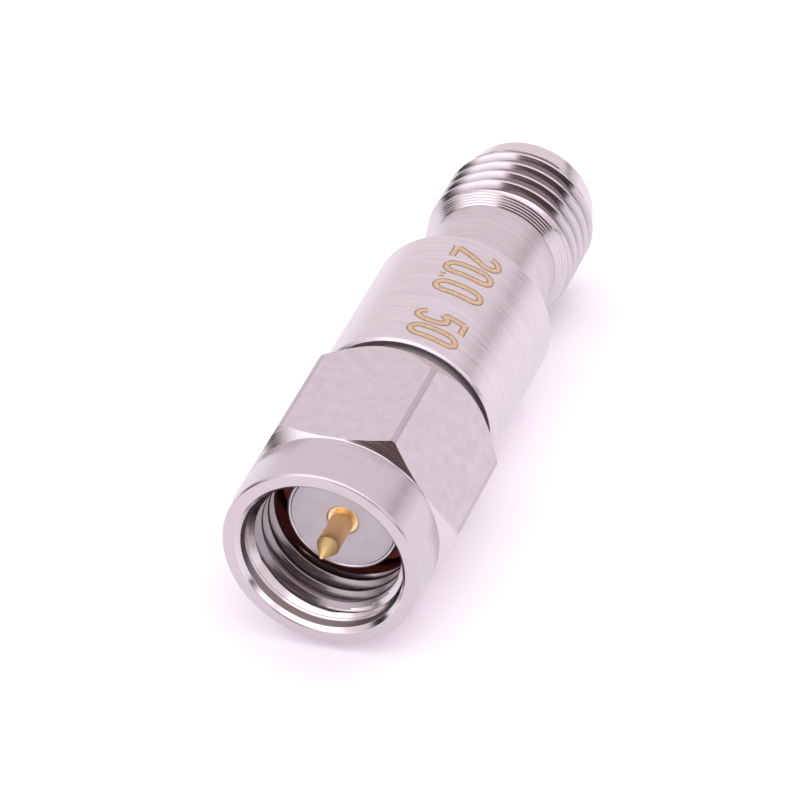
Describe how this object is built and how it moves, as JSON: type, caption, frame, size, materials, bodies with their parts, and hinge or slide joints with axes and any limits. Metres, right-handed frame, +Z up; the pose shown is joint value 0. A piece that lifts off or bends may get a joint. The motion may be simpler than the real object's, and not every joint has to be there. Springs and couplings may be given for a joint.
{
  "type": "rf attenuator",
  "caption": "In-line coaxial fixed attenuator with a turned steel barrel, a plug with a hexagonal coupling nut at one end and a threaded jack at the other.",
  "frame": {"origin": "centre of the plug's reference plane, where its ferrule's front face meets the mating jack", "axes": "+Y along the axis from the plug to the jack, +Z up and square to the nut flat that it lies on"},
  "size_m": [0.0092, 0.0256, 0.008],
  "materials": {
    "steel_body": "satin",
    "steel_nut": "satin",
    "spring_bronze": "satin",
    "silicone": "matte",
    "ptfe": "satin",
    "gold_contact": "polished",
    "plated_brass": "satin",
    "alumina": "matte"
  },
  "bodies": {
    "body": {"barrel_body": "steel_body", "plug_shell": "steel_body", "sealing_gasket": "silicone", "plug_insulator": "ptfe", "plug_pin": "gold_contact", "ground_sleeve_upper": "plated_brass", "ground_sleeve_lower": "plated_brass", "attenuator_card": "alumina", "jack_insulator": "ptfe", "jack_socket": "gold_contact"},
    "ring": {"retaining_ring": "spring_bronze"},
    "nut": {"coupling_nut": "steel_nut"}
  },
  "joints": [
    {"name": "nut_float", "type": "slide", "parent": "body", "child": "ring", "axis": [0, 1, 0], "range_m": [0, 0.0003]},
    {"name": "nut_spin", "type": "hinge", "parent": "ring", "child": "nut", "pos_m": [0, 0.00425, 0], "axis": [0, 1, 0], "continuous": true}
  ]
}
